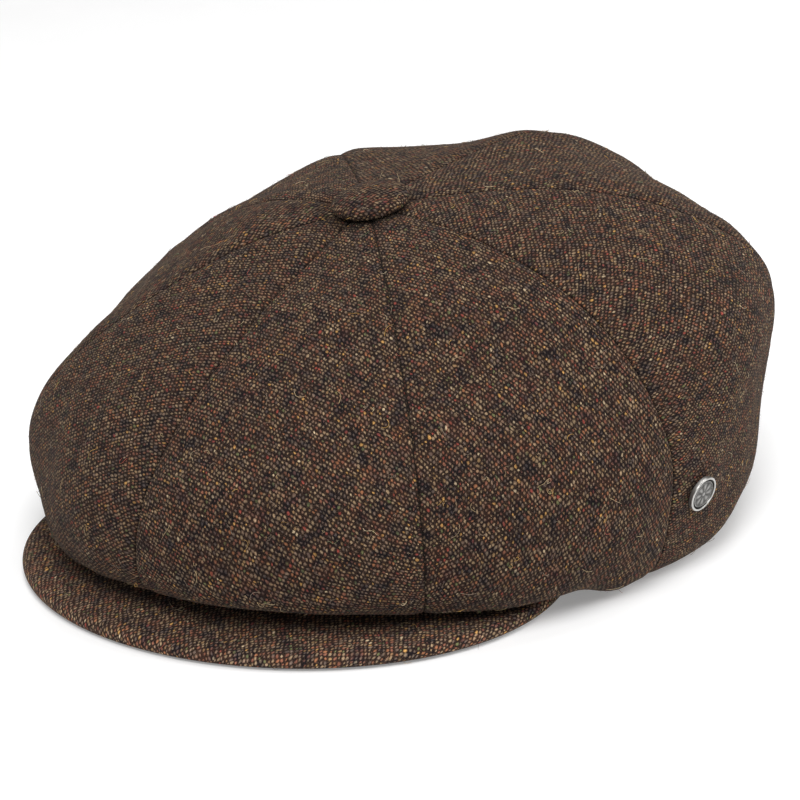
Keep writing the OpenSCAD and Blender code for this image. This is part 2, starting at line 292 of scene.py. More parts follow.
def develop(p):
    """Flat coordinates of a grid of points (rows, columns): each row is rolled out from the middle column."""
    rows, cols = p.shape[:2]
    mid = cols // 2
    dv = np.gradient(p, axis=0)
    du = np.gradient(p, axis=1)
    n = np.cross(du, dv)
    n /= np.maximum(np.linalg.norm(n, axis=-1, keepdims=True), 1e-9)
    flat = np.zeros((rows, cols, 3))
    along = np.concatenate([[0], np.cumsum(np.linalg.norm(np.diff(p[:, mid], axis=0), axis=1))])
    flat[:, mid, 1] = along
    for step in (1, -1):
        ey = dv[:, mid] / np.linalg.norm(dv[:, mid], axis=-1, keepdims=True)
        c = mid
        while 0 <= c + step < cols:
            ey = ey - (ey * n[:, c]).sum(-1, keepdims=True) * n[:, c]
            ey /= np.linalg.norm(ey, axis=-1, keepdims=True)
            ex = np.cross(ey, n[:, c])
            d = p[:, c + step] - p[:, c]
            flat[:, c + step, 0] = flat[:, c, 0] + (d * ex).sum(-1)
            flat[:, c + step, 1] = flat[:, c, 1] + (d * ey).sum(-1)
            c += step
    return flat


def skin_area(g):
    """Surface of a grid of points, each cell as two triangles."""
    a, b, c, d = g[:-1, :-1], g[1:, :-1], g[1:, 1:], g[:-1, 1:]
    twice = np.linalg.norm(np.cross(b - a, c - a), axis=-1) + np.linalg.norm(np.cross(c - a, d - a), axis=-1)
    return twice.sum() / 2


def turned(flat, degrees, number):
    """The cloth's grain turned on the pattern piece, and moved to a part of the cloth of its own."""
    c, s = math.cos(math.radians(degrees)), math.sin(math.radians(degrees))
    x, y = flat[..., 0], flat[..., 1]
    return np.stack([c * x - s * y + 411.3 * (number + 1), s * x + c * y + 273.7 * (number + 1), 0 * x], -1)


# ---------------------------------------------------------------- crown panels
EDGE = np.array([0.10, 0.28, 0.55, 0.95, 1.7, 2.9, 4.8])
FOLD_ROWS, TOP_ROWS, MIDDLE = 30, 66, 24
ROWS_W = np.concatenate([np.linspace(0, 1, FOLD_ROWS, endpoint=False), np.linspace(1, 2, TOP_ROWS)])
# Painted shade: the cloth is darkened low at the front and round the button, where these lamps shade too
# little
LOW_FRONT_PAINTED_SHADE, BUTTON_RIM_PAINTED_SHADE = 0.24, 0.75
# The seams lean this far through the cloth, so that no light comes straight through them
SEAM_SLANT = 0.5
GRAIN = [25, 62, -24, 40, -30, 75, 20, -38]


def panel_columns(k, w, edge, middle):
    """Directions of the columns of panel k in each row, and each point's distance from the nearer seam.

    The columns are crowded towards the seams."""
    out = []
    for side in (0, 1):
        r = section(STEP_A * (k + side), w)[0][:, 0]
        half = math.radians(STEP_A / 2) * r
        fit = np.minimum(1, (0.72 * half - edge[0]) / (edge[-1] - edge[0]))
        e = edge[0] + (edge[None] - edge[0]) * fit[:, None]
        out.append(np.degrees(e / r[:, None]))
    t = np.linspace(0, 1, middle + 2)[None, 1:-1]
    left, right = out[0], STEP_A - out[1][:, ::-1]
    mid = left[:, -1:] * (1 - t) + right[:, :1] * t
    a = k * STEP_A + np.concatenate([left, mid, right], 1)
    r = section(a, w[:, None])[0][..., 0]
    return a, np.radians(np.minimum(a - k * STEP_A, (k + 1) * STEP_A - a)) * r


def crown_panel(k):
    w = ROWS_W
    a, d = panel_columns(k, w, EDGE, MIDDLE)
    rz, tangent = section(a, w[:, None])
    p, n = spin(rz, a), spin_normal(tangent, a)
    soft = np.clip(d / 6, 0, 1)
    from_badge = p - BADGE_P
    high = from_badge @ BADGE_RISE
    far = np.linalg.norm(from_badge, axis=-1)
    away = 1 - np.exp(-(far / 16) ** 2)
    ends = np.clip(w / 0.3, 0, 1)[:, None] * np.clip((2 - w) / 0.25, 0, 1)[:, None]
    lift = 0.8 * wander(p, [46, 58, 71, 93, 120], SEED) * away * ends
    lift += 0.35 * wander(p, [21, 26, 33], SEED + 1 + k) * away * ends * soft
    lift += (slump(a, w[:, None]) + FULL) * away * ends
    lift += BADGE_LEAN * high * np.exp(-(far / 15) ** 2)
    v = valley(d, 0.5)
    outer = resting(p + (lift - v)[..., None] * n, 0.35)
    across = np.stack([cosd(a), sind(a), 0 * a], -1)
    inner = p + (lift - CLOTH_T - v * 0.9 - 0.15)[..., None] * n + SEAM_SLANT * across
    inner = resting(inner, 0.35 + CLOTH_T * 0.8)
    flat = turned(develop(p), GRAIN[k], k)
    # Painted shade: darker low at the front, below the widest line, and in a ring just round the button seat
    low = np.clip((1.25 - w) / 0.5, 0, 1)[:, None] * np.clip((95 - np.abs((a + 180) % 360 - 180)) / 40, 0, 1)
    seat = np.clip(w - 1.5, 0, 1)[:, None] * np.exp(-((rz[..., 0] - BUTTON_D / 2) / 3.0) ** 2)
    return outer, inner, flat, d, n, -LOW_FRONT_PAINTED_SHADE * low - BUTTON_RIM_PAINTED_SHADE * seat


def resting(p, clear):
    """Lifts points that would sink into the peak or the table so that they lie on them."""
    out = p.copy()
    flat = out.reshape(-1, 3)
    for i in np.nonzero(flat[:, 2] < 30)[0]:
        x, y, z = flat[i]
        hit = PEAK_TREE.ray_cast(Vector((x, y, 60.0)), Vector((0, 0, -1)))[0]
        floor = max(hit.z if hit is not None and z > hit.z - 9 else 0.0, 0.0)
        flat[i, 2] = max(z, floor + clear)
    return out


def unit(v):
    v = np.asarray(v, float)
    return v / np.linalg.norm(v)


def crown_point(a, w):
    return spin(section(a, w)[0], a)


BADGE_P = crown_point(BADGE_DIR, BADGE_UP)
BADGE_ACROSS = unit(crown_point(BADGE_DIR + 1, BADGE_UP) - crown_point(BADGE_DIR - 1, BADGE_UP))
BADGE_RISE = unit(crown_point(BADGE_DIR, BADGE_UP + 0.02) - crown_point(BADGE_DIR, BADGE_UP - 0.02))
# The slumped cloth leans the badge down a little.
BADGE_LEAN = math.tan(math.radians(9))


def aim(p, v):
    """Turns +Z onto the unit vector v and moves to p."""
    turn, heading = math.acos(v[2]), math.atan2(v[1], v[0])
    m = Matrix.Rotation(heading, 3, "Z") @ Matrix.Rotation(turn, 3, "Y")
    return np.array(m), np.asarray(p, float)


def place(local, seat):
    return local @ seat[0].T + seat[1]


# ---------------------------------------------------------------- materials
def new_material(name):
    m = bpy.data.materials.new(name)
    m.use_nodes = True
    m.node_tree.nodes.clear()
    return m


class Shade:
    """Short names for building one material's nodes."""

    def __init__(self, name):
        self.m = new_material(name)
        self.t = self.m.node_tree

    def node(self, kind, props=None, inputs=None):
        n = self.t.nodes.new(kind)
        for key, value in (props or {}).items():
            setattr(n, key, value)
        for key, value in (inputs or {}).items():
            socket = n.inputs[key]
            if isinstance(value, bpy.types.NodeSocket):
                self.t.links.new(value, socket)
            else:
                socket.default_value = value
        return n

    def attribute(self, name, output="Vector"):
        return self.node("ShaderNodeAttribute", {"attribute_name": name}).outputs[output]

    def math(self, op, a, b=0.0, c=0.0, clamp=False):
        props = {"operation": op, "use_clamp": clamp}
        return self.node("ShaderNodeMath", props, {0: a, 1: b, 2: c}).outputs[0]

    def vector(self, op, a, b=(0, 0, 0)):
        return self.node("ShaderNodeVectorMath", {"operation": op}, {0: a, 1: b}).outputs[0]

    def scaled(self, v, size, turn=0.0):
        return self.node("ShaderNodeMapping", None,
                         {"Vector": v, "Rotation": (0, 0, math.radians(turn)), "Scale": size}).outputs[0]

    def noise(self, v, scale, detail=2.0, rough=0.5, output="Fac"):
        return self.node("ShaderNodeTexNoise", None,
                         {"Vector": v, "Scale": scale, "Detail": detail, "Roughness": rough}).outputs[output]

    def step(self, value, low, high, out_low=0.0, out_high=1.0, smooth=True):
        kind = "SMOOTHSTEP" if smooth else "LINEAR"
        return self.node("ShaderNodeMapRange", {"interpolation_type": kind},
                         {"Value": value, "From Min": low, "From Max": high,
                          "To Min": out_low, "To Max": out_high}).outputs[0]

    def mix(self, fac, a, b, blend="MIX"):
        n = self.node("ShaderNodeMix", {"data_type": "RGBA", "blend_type": blend})
        for socket, value in ((n.inputs[0], fac), (n.inputs[6], a), (n.inputs[7], b)):
            if isinstance(value, bpy.types.NodeSocket):
                self.t.links.new(value, socket)
            else:
                socket.default_value = (*value, 1) if isinstance(value, tuple) else value
        return n.outputs[2]

    def times(self, colour, value):
        grey = self.node("ShaderNodeCombineColor", None, {0: value, 1: value, 2: value}).outputs[0]
        return self.mix(1.0, colour, grey, "MULTIPLY")

    def ramp(self, fac, stops, hard=False):
        n = self.node("ShaderNodeValToRGB", None, {"Fac": fac})
        n.color_ramp.interpolation = "CONSTANT" if hard else "LINEAR"
        while len(n.color_ramp.elements) < len(stops):
            n.color_ramp.elements.new(0.5)
        for e, (at, colour) in zip(n.color_ramp.elements, stops):
            e.position, e.color = at, (*colour, 1)
        return n.outputs[0]

    def bump(self, height, distance, strength=1.0, normal=None):
        inputs = {"Height": height, "Distance": distance, "Strength": strength}
        if normal is not None:
            inputs["Normal"] = normal
        return self.node("ShaderNodeBump", None, inputs).outputs[0]

    def finish(self, **inputs):
        names = {key.replace("_", " "): value for key, value in inputs.items()}
        n = self.node("ShaderNodeBsdfPrincipled", None, names)
        self.node("ShaderNodeOutputMaterial", None, {"Surface": n.outputs[0]})
        return self.m


def tweed(name):
    """Birdseye tweed: small pale and coloured pips in a slanting lattice on near-black, in soft patches."""
    s = Shade(name)
    cloth = s.attribute("weave")
    drift = s.vector("SUBTRACT", s.noise(cloth, 0.16, 2, 0.5, "Color"), (0.5, 0.5, 0.5))
    jitter = s.vector("SUBTRACT", s.noise(cloth, 0.8, 1, 0.5, "Color"), (0.5, 0.5, 0.5))
    warped = s.vector("ADD", s.vector("ADD", cloth, s.vector("MULTIPLY", drift, (2.4, 2.4, 0))),
                      s.vector("MULTIPLY", jitter, (0.35, 0.35, 0)))
    pitch = 1.45
    place_of = s.scaled(warped, (1 / pitch, 1 / pitch, 1))
    cells = s.node("ShaderNodeTexVoronoi", {"voronoi_dimensions": "2D", "feature": "F1"},
                   {"Vector": place_of, "Scale": 1.0, "Randomness": 0.32})
    pick = s.node("ShaderNodeSeparateColor", None, {0: cells.outputs["Color"]}).outputs
    within = s.vector("SUBTRACT", s.vector("MULTIPLY", place_of, (1, 1, 0)), cells.outputs["Position"])
    lean = s.math("ADD", s.math("MULTIPLY", pick[1], 0.7), 0.25)
    within = s.node("ShaderNodeVectorRotate", {"rotation_type": "Z_AXIS"},
                    {"Vector": within, "Angle": lean}).outputs[0]
    within = s.vector("MULTIPLY", within, (0.80, 1.25, 0))
    strand = s.vector("ADD", s.vector("MULTIPLY", within, (1.6, 7.0, 0)),
                      s.vector("MULTIPLY", cells.outputs["Color"], (40, 40, 40)))
    strand = s.noise(strand, 1.0, 2, 0.6)
    fibre = s.noise(s.scaled(warped, (2.6, 0.9, 1), 38), 1.7, 3, 0.7)
    lint = s.noise(s.scaled(cloth, (0.8, 2.4, 1), -14), 2.0, 3, 0.7)
    length = s.node("ShaderNodeVectorMath", {"operation": "LENGTH"}, {0: within}).outputs["Value"]
    ragged = s.math("ADD", length,
                    s.math("MULTIPLY", s.math("SUBTRACT", fibre, 0.5), 0.80))
    plump = s.math("ADD", s.math("MULTIPLY", pick[2], 0.24), 0.29)
    pip = s.math("SUBTRACT", 1.0, s.math("DIVIDE", ragged, plump), clamp=True)
    pip = s.step(pip, 0.0, 0.55)
    warp_yarn = s.noise(s.scaled(cloth, (1 / 1.7, 1 / 18, 1)), 1.0, 2, 0.5)
    weft_yarn = s.noise(s.scaled(cloth, (1 / 18, 1 / 1.7, 1)), 1.0, 2, 0.5)
    yarn = s.math("MULTIPLY", s.math("ADD", warp_yarn, weft_yarn), 0.5)
    dark_patch = s.step(s.noise(cloth, 0.17, 3, 0.62), 0.46, 0.66)
    rust_patch = s.step(s.noise(s.vector("ADD", cloth, (71.0, 13.0, 0)), 0.13, 3, 0.6), 0.50, 0.68)
    gold_patch = s.step(s.noise(s.vector("ADD", cloth, (-31.0, 57.0, 0)), 0.10, 4, 0.66), 0.56, 0.72)
    pips = s.ramp(pick[0], [
        (0.00, (0.245, 0.172, 0.106)), (0.12, (0.198, 0.140, 0.086)), (0.30, (0.160, 0.108, 0.076)),
        (0.50, (0.102, 0.074, 0.060)), (0.60, (0.176, 0.074, 0.048)), (0.76, (0.228, 0.098, 0.050)),
        (0.83, (0.195, 0.122, 0.062)), (0.920, (0.380, 0.212, 0.070)), (0.945, (0.215, 0.048, 0.036)),
        (0.960, (0.105, 0.110, 0.050)), (0.985, (0.400, 0.310, 0.200))], hard=True)
    pips = s.mix(s.math("MULTIPLY", rust_patch, 0.45), pips, (0.185, 0.072, 0.044))
    pips = s.mix(s.math("MULTIPLY", gold_patch, 0.35), pips, (0.240, 0.148, 0.060))
    pips = s.mix(s.math("MULTIPLY", dark_patch, 0.66), pips, (0.026, 0.026, 0.034))
    stripes = s.ramp(yarn, [(0.30, (0.56, 0.56, 0.57)), (0.70, (1.42, 1.38, 1.32))])
    pips = s.mix(1.0, pips, stripes, "MULTIPLY")
    ground = s.mix(s.step(lint, 0.42, 0.72), (0.0040, 0.0030, 0.0029), (0.082, 0.048, 0.034))
    ground = s.mix(s.math("MULTIPLY", dark_patch, 0.75), ground, (0.0036, 0.0038, 0.0060))
    ground = s.mix(s.math("MULTIPLY", rust_patch, 0.35), ground, (0.034, 0.013, 0.009))
    colour = s.mix(pip, ground, pips)
    nap = s.step(s.math("MULTIPLY", s.math("ADD", fibre, strand), 0.5), 0.32, 0.68, 0.26, 1.78, smooth=False)
    colour = s.times(colour, nap)
    # Painted shade: the cloth darkens within about a millimetre of a seam or a rolled edge, where the seam's
    # hollow is shaded
    seam = s.step(s.attribute("seam", "Fac"), 0.05, 0.9, 0.55, 1.0)
    colour = s.times(colour, seam)
    # Painted shade low on the crown's front and round the button, and painted light on the top of the peak,
    # read from the mesh attribute
    painted_shading = s.math("ADD", s.attribute("painted_shading", "Fac"), 1.0)
    colour = s.times(colour, painted_shading)
    height = s.math("ADD", s.math("MULTIPLY", pip, 0.6), s.math("MULTIPLY", fibre, 0.6))
    normal = s.bump(height, 0.00036, 0.9)
    rough = s.step(fibre, 0.2, 0.8, 0.88, 1.0, smooth=False)
    return s.finish(Base_Color=colour, Roughness=rough, Normal=normal, Specular_IOR_Level=0.06,
                    Sheen_Weight=0.06, Sheen_Roughness=0.40, Sheen_Tint=(0.95, 0.80, 0.68, 1))


def satin(name):
    s = Shade(name)
    cloth = s.attribute("weave")
    floats = s.noise(s.scaled(cloth, (5.5, 0.55, 1), 8), 1.0, 2, 0.5)
    broad = s.noise(cloth, 0.05, 3, 0.55)
    colour = s.ramp(broad, [(0.3, (0.036, 0.021, 0.015)), (0.7, (0.064, 0.039, 0.027))])
    colour = s.mix(s.math("MULTIPLY", floats, 0.35), colour, (0.095, 0.062, 0.045))
    # Painted shade: the lining darkens within about a millimetre of each seam
    seam = s.step(s.attribute("seam", "Fac"), 0.1, 1.4, 0.4, 1.0)
    colour = s.times(colour, seam)
    crease = s.noise(s.scaled(cloth, (0.16, 0.03, 1)), 1.0, 3, 0.5)
    height = s.math("ADD", s.math("MULTIPLY", floats, 0.05), s.math("MULTIPLY", crease, 1.0))
    rough = s.step(floats, 0.2, 0.8, 0.30, 0.42, smooth=False)
    return s.finish(Base_Color=colour, Roughness=rough, Normal=s.bump(height, 0.0009, 0.6),
                    Anisotropic=0.45, Sheen_Weight=0.12, Sheen_Roughness=0.3, Specular_IOR_Level=0.6)


def twill(name, low, high, ribs=1.0, sheen=0.15):
    """Cotton twill or tape: fine slanting ribs with a slight nap."""
    s = Shade(name)
    cloth = s.attribute("weave")
    wave = s.node("ShaderNodeTexWave", {"wave_type": "BANDS", "bands_direction": "DIAGONAL"},
                  {"Vector": cloth, "Scale": 0.62 * ribs, "Distortion": 0.8, "Detail": 2.0,
                   "Detail Scale": 1.5}).outputs["Fac"]
    fibre = s.noise(cloth, 3.0, 3, 0.6)
    broad = s.noise(cloth, 0.07, 3, 0.6)
    fac = s.math("ADD", s.math("MULTIPLY", wave, 0.45), s.math("MULTIPLY", s.math("ADD", fibre, broad), 0.28))
    colour = s.ramp(fac, [(0.25, low), (0.75, high)])
    rough = s.step(fibre, 0.2, 0.8, 0.78, 0.95, smooth=False)
    height = s.math("ADD", wave, s.math("MULTIPLY", fibre, 0.5))
    return s.finish(Base_Color=colour, Roughness=rough, Normal=s.bump(height, 0.00016, 0.8),
                    Sheen_Weight=sheen, Sheen_Roughness=0.5, Specular_IOR_Level=0.3)


def label_cloth(name, half):
    """Woven label: ribbed taffeta with a double border and a plain lozenge field."""
    s = Shade(name)
    cloth = s.attribute("weave")
    x, y, _ = s.node("ShaderNodeSeparateXYZ", None, {0: cloth}).outputs
    ex = s.math("SUBTRACT", half[0], s.math("ABSOLUTE", x))
    ey = s.math("SUBTRACT", half[1], s.math("ABSOLUTE", y))
    edge = s.math("MINIMUM", ex, ey)
    line = s.math("ADD", s.math("COMPARE", edge, 2.2, 0.35), s.math("COMPARE", edge, 3.4, 0.18))
    lozenge = s.math("PINGPONG", s.math("ADD", s.math("ABSOLUTE", x), s.math("ABSOLUTE", y)), 2.0)
    field = s.math("MULTIPLY", s.math("COMPARE", lozenge, 1.0, 0.32), s.math("GREATER_THAN", edge, 4.6))
    ribs = s.math("SINE", s.math("MULTIPLY", y, 11.0))
    fibre = s.noise(cloth, 2.4, 3, 0.6)
    base = s.ramp(fibre, [(0.3, (0.30, 0.215, 0.110)), (0.7, (0.40, 0.300, 0.170))])
    colour = s.mix(s.math("MINIMUM", s.math("ADD", line, s.math("MULTIPLY", field, 0.55)), 1.0), base,
                   (0.045, 0.027, 0.018))
    height = s.math("ADD", s.math("MULTIPLY", ribs, 0.4), fibre)
    return s.finish(Base_Color=colour, Roughness=0.62, Normal=s.bump(height, 0.00010, 0.8),
                    Sheen_Weight=0.2, Sheen_Roughness=0.4)


def metal(name, colour, dark, rough):
    """Antiqued or plain metal: bright on the high edges, dark in the recesses, with fine scratches."""
    s = Shade(name)
    place_of = s.node("ShaderNodeTexCoord").outputs["Object"]
    scratch = s.noise(s.scaled(place_of, (2600, 420, 900), 24), 1.0, 3, 0.6)
    grime = s.noise(place_of, 700, 4, 0.65)
    hollow = s.attribute("recess", "Fac")
    tarnish = s.math("MULTIPLY", hollow, s.step(grime, 0.25, 0.75, 0.85, 1.1), clamp=True)
    worn = s.mix(s.math("MULTIPLY", scratch, 0.35), colour, tuple(c * 0.72 for c in colour))
    base = s.mix(tarnish, worn, dark)
    dull = s.math("ADD", tarnish, s.math("MULTIPLY", scratch, 0.3))
    shine = s.step(dull, 0.0, 1.3, rough, 0.75, smooth=False)
    height = s.math("ADD", scratch, grime)
    return s.finish(Base_Color=base, Metallic=1.0, Roughness=shine, Normal=s.bump(height, 0.00004, 0.5))


def board_stuff(name):
    s = Shade(name)
    place_of = s.node("ShaderNodeTexCoord").outputs["Object"]
    flock = s.noise(place_of, 900, 4, 0.6)
    broad = s.noise(place_of, 60, 3, 0.5)
    colour = s.ramp(s.math("MULTIPLY", s.math("ADD", flock, broad), 0.5),
                    [(0.3, (0.44, 0.39, 0.32)), (0.7, (0.62, 0.57, 0.48))])
    return s.finish(Base_Color=colour, Roughness=0.85, Normal=s.bump(flock, 0.00012, 0.6))


def fibre_stuff(name):
    s = Shade(name)
    tint = s.attribute("tint", "Fac")
    colour = s.ramp(tint, [
        (0.00, (0.060, 0.042, 0.033)), (0.30, (0.120, 0.082, 0.056)), (0.50, (0.215, 0.150, 0.095)),
        (0.68, (0.420, 0.300, 0.150)), (0.80, (0.520, 0.290, 0.060)), (0.88, (0.560, 0.440, 0.260)),
        (0.93, (0.360, 0.060, 0.035)), (0.97, (0.130, 0.160, 0.055))], hard=True)
    place_of = s.node("ShaderNodeTexCoord").outputs["Object"]
    vary = s.step(s.noise(place_of, 1500, 2, 0.5), 0.3, 0.7, 0.8, 1.15)
    colour = s.times(colour, vary)
    return s.finish(Base_Color=colour, Roughness=0.7, Sheen_Weight=0.2, Specular_IOR_Level=0.3)


TWEED = tweed("tweed")
SATIN = satin("satin")
SWEAT = twill("cotton_twill", (0.008, 0.0075, 0.008), (0.028, 0.026, 0.027))
LABEL = label_cloth("woven_label", (26.0, 15.0))
TAB = label_cloth("size_tab", (6.0, 10.0))
SILVER = metal("antiqued_silver", (0.50, 0.49, 0.47), (0.012, 0.0115, 0.011), 0.26)
STEEL = metal("plain_steel", (0.56, 0.56, 0.55), (0.12, 0.12, 0.12), 0.34)
BOARD = board_stuff("peak_board")
FIBRE = fibre_stuff("wool_fibre")
THREAD = twill("thread", (0.020, 0.016, 0.014), (0.060, 0.048, 0.040), ribs=4.0, sheen=0.3)


def piece(ob, material, slot, *nodes):
    ob.data.materials.clear()
    ob.data.materials.append(material)
    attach(ob, "root")
    if nodes:
        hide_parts(*nodes)
    return ob


# The tweed's outer faces, for the fibres, and what the cut sizes are measured on
SKINS = []
CROWN_SKINS, GORE_FLATS = {}, {}


# ---------------------------------------------------------------- band, sweatband
def root_top(q):
    middle = np.maximum(0, cosd(q * 90 / ARCH_END)) ** 1.5
    return PEAK_ROOT_H[1] + (PEAK_ROOT_H[0] - PEAK_ROOT_H[1]) * middle


def arch(q):
    rise = np.maximum(0, root_top(q) - PEAK_T) * np.minimum(1, (ARCH_END - np.abs(q)) / 6)
    return np.where(np.abs(q) < ARCH_END, rise, 0)


def strip(name, off, t, lift, top, material, slot, node, number, wave=0.0):
    """A strip round the head oval with a rolled lower edge, open by one gap at the centre back."""
    edge = math.degrees(math.asin(GAP / 2 / HEAD_B))
    q = np.linspace(-180 + edge, 180 - edge, 241)
    turns = np.radians(np.array([0, 22, 45, 68, 90]))
    r = t / 2
    rows_out, rows_in, rows_z = [], [], []
    for phi in turns:
        rows_out.append(off + r + r * math.sin(phi))
        rows_in.append(off + r - r * math.sin(phi))
        rows_z.append(("low", r * (1 - math.cos(phi))))
    for f in np.linspace(0, 1, 12)[1:-1]:
        rows_out.append(off + t)
        rows_in.append(off)
        rows_z.append(("mid", f))
    for phi in turns[::-1]:
        rows_out.append(off + r + r * math.sin(phi))
        rows_in.append(off + r - r * math.sin(phi))
        rows_z.append(("high", r * (1 - math.cos(phi))))
    low = arch(q) + lift
    outer, inner = [], []
    arc = np.concatenate([[0], np.cumsum(np.hypot(*np.diff(np.array(oval(off, q)), axis=1)))])
    weave, soft = [], []
    for o, i, (kind, f) in zip(rows_out, rows_in, rows_z):
        z = {"low": low + f, "mid": low + r + f * (top - low - 2 * r), "high": top - f + 0 * low}[kind]
        ripple = wave * np.sin(q * 0.55 + z * 0.1)
        for rows, offset in ((outer, o), (inner, i)):
            x, y = oval(offset + ripple, q)
            rows.append(np.stack([x, y, z], -1))
        weave.append(np.stack([arc + 411.3 * number, z + 273.7 * number, 0 * z], -1))
        soft.append(np.minimum(arc, arc[-1] - arc) + 0.15)
    ob = add_sheet(name, np.array(outer), np.array(inner), np.array(weave), np.array(soft), sharp=70)
    return piece(ob, material, slot, node)


strip("headband_cloth", BAND_OFF, CLOTH_T, 0.0, BAND_H, TWEED, "tweed", "headband", 12)
strip("sweatband_cloth", 0.0, SWEAT_T, 0.5, SWEAT_H, SWEAT, "cotton", "sweatband", 13)


# ---------------------------------------------------------------- peak
def peak_point(v, s):
    q, h = v * ROOT_END, v * PEAK_SWEEP
    edge_z = PEAK_EDGE_H[0] + (PEAK_EDGE_H[1] - PEAK_EDGE_H[0]) * np.minimum(1, (h / 100) ** 2)
    e = np.stack([PEAK_HALF_W * sind(h), -PEAK_MID - PEAK_REACH * cosd(h), edge_z], -1)
    x, y = oval(PEAK_OFF, q)
    r = np.stack([x, y, root_top(q)], -1)
    return r + s[..., None] * (e - r)


# Where the two covers meet, in degrees round the edge from the top, and about half the peak edge's length
PEAK_SEAM = 138.0
PEAK_HALF_ARC = 118
# Painted light: the top of the peak is lightened, since under these lamps it comes out too dark without it
PEAK_TOP_PAINTED_LIGHT = 0.72


def peak_skin(phis, inset, flip):
    """One face of the peak: rows from the root to the outer edge, then round the edge by the angles phis.

    inset is the depth under the skin, and flip turns it to the underside."""
    v = np.sin(np.linspace(-1, 1, 121) * math.pi / 2) * 0.35 + np.linspace(-1, 1, 121) * 0.65
    root, rim = peak_point(v, 0 * v), peak_point(v, 0 * v + 1)
    width = np.linalg.norm(rim - root, axis=-1)
    h = PEAK_T / 2
    rad = h - inset
    rows = []
    start = 1 - h / width
    for f in np.linspace(0, 1, 19)[:-1]:
        p = peak_point(v, f * start)
        p[:, 2] -= inset if not flip else PEAK_T - inset
        rows.append(p)
    for phi in phis:
        c, s = math.cos(math.radians(phi)), math.sin(math.radians(phi))
        p = peak_point(v, start + rad * s / width)
        p[:, 2] -= h - rad * c
        rows.append(p)
    grid = np.array(rows)
    # the ends of the peak are closed by turning both faces in to the middle
    end = (1 - np.abs(v)) * PEAK_HALF_ARC
    close = np.clip(1 - end / (2.2 + inset), 0, 1) ** 2
    middle = np.array([peak_point(v, 0 * v + f)[:, 2] - h for f in np.linspace(0, 1, len(rows))])
    grid[..., 2] += (middle - grid[..., 2]) * close[None] * 0.96
    return grid, v


def peak_weave(grid, number, turn):
    flat = np.stack([grid[..., 0], grid[..., 1], 0 * grid[..., 0]], -1)
    steps = np.linalg.norm(np.diff(grid, axis=0), axis=-1)
    under = np.concatenate([[0 * grid[0, :, 0]], np.cumsum(steps, axis=0)])
    radial = grid[-1] - grid[0]
    radial = radial / np.linalg.norm(radial, axis=-1, keepdims=True)
    flat[..., :2] = grid[0][None, :, :2] + under[..., None] * radial[None, :, :2]
    return turned(flat, turn, number)


def peak_cover(name, phis, flip, node, number, turn):
    outer, v = peak_skin(phis, 0.0, flip)
    inner, _ = peak_skin(phis, CLOTH_T - 0.15, flip)
    dist = np.full(outer.shape[:2], 9.0)
    last = len(phis)
    steps = np.linalg.norm(outer[-last:] - outer[-1:], axis=-1)
    dist[-last:] = steps + 0.15
    # Painted light on the top cover only; the under cover gets none
    painted_shading = np.full(outer.shape[:2], 0.0 if flip else PEAK_TOP_PAINTED_LIGHT)
    ob = add_sheet(name, outer, inner, peak_weave(outer, number, turn), dist, sharp=62, painted_shading=painted_shading)
    SKINS.append((outer, np.array([0, 0, -1.0 if flip else 1.0]) + 0 * outer, dist + 3))
    return piece(ob, TWEED, "tweed", node)


peak_cover("peak_top_cloth", list(np.linspace(0, PEAK_SEAM, 15)), False, "peak_top_cover", 9, 52)
peak_cover("peak_under_cloth", list(np.linspace(180, PEAK_SEAM + 7, 7)), True, "peak_under_cover", 10, 5)


def peak_tree():
    grid, _ = peak_skin(list(np.linspace(0, 90, 7)), 0.0, False)
    m, n = grid.shape[:2]
    corners = [i * n + j for i in range(m - 1) for j in range(n - 1)]
    quads = [(c, c + 1, c + n + 1, c + n) for c in corners]
    return BVHTree.FromPolygons(grid.reshape(-1, 3).tolist(), quads)


PEAK_TREE = peak_tree()


def peak_board():
    v = np.linspace(-0.965, 0.965, 97)
    rows = np.linspace(0.03, 0.90, 12)
    top = np.array([peak_point(v, 0 * v + s) for s in rows]) - [0, 0, CLOTH_T + GAP / 2]
    low = top - [0, 0, BOARD_T]
    ob = add_sheet("peak_board_sheet", top, low, np.ones_like(top))
    return piece(ob, BOARD, "board", "peak_board")


peak_board()


# ---------------------------------------------------------------- build the crown
for k, name in enumerate(PANELS):
    outer, inner, flat, d, n, painted_shading = crown_panel(k)
    ob = add_sheet("crown_" + name, outer, inner, flat, d, painted_shading=painted_shading)
    piece(ob, TWEED, "tweed", "crown_panel_" + name)
    SKINS.append((outer, n, d))
    CROWN_SKINS[name] = outer


# ---------------------------------------------------------------- button
def slope(a):
    return swell(a) / (around(TOP_SPREAD, a) * reach(a))


SEAT_N = -unit([slope(90.0) - slope(270.0), slope(180.0) - slope(0.0), -2])
BUTTON_SEAT = aim([BUTTON_SIDE, -BUTTON_FWD, APEX_H - BUTTON_SIDE * SEAT_N[0] / SEAT_N[2]], SEAT_N)


def lathe(profile, turns=96):
    """Points and faces of a closed body turned from a profile whose two ends lie on the axis."""
    ring = np.linspace(0, 2 * math.pi, turns, endpoint=False)
    body = profile[1:-1]
    pts = [np.array([[0, 0, profile[0][1]]])]
    for r, z in body:
        pts.append(np.stack([r * np.cos(ring), r * np.sin(ring), 0 * ring + z], -1))
    pts.append(np.array([[0, 0, profile[-1][1]]]))
    verts = np.concatenate(pts)
    faces = [[0, 1 + j, 1 + (j + 1) % turns] for j in range(turns)]
    for i in range(len(body) - 1):
        a = 1 + i * turns
        b = a + turns
        faces += [[a + j, b + j, b + (j + 1) % turns, a + (j + 1) % turns] for j in range(turns)]
    a, last = 1 + (len(body) - 1) * turns, len(verts) - 1
    faces += [[a + j, last, a + (j + 1) % turns] for j in range(turns)]
    return verts, faces


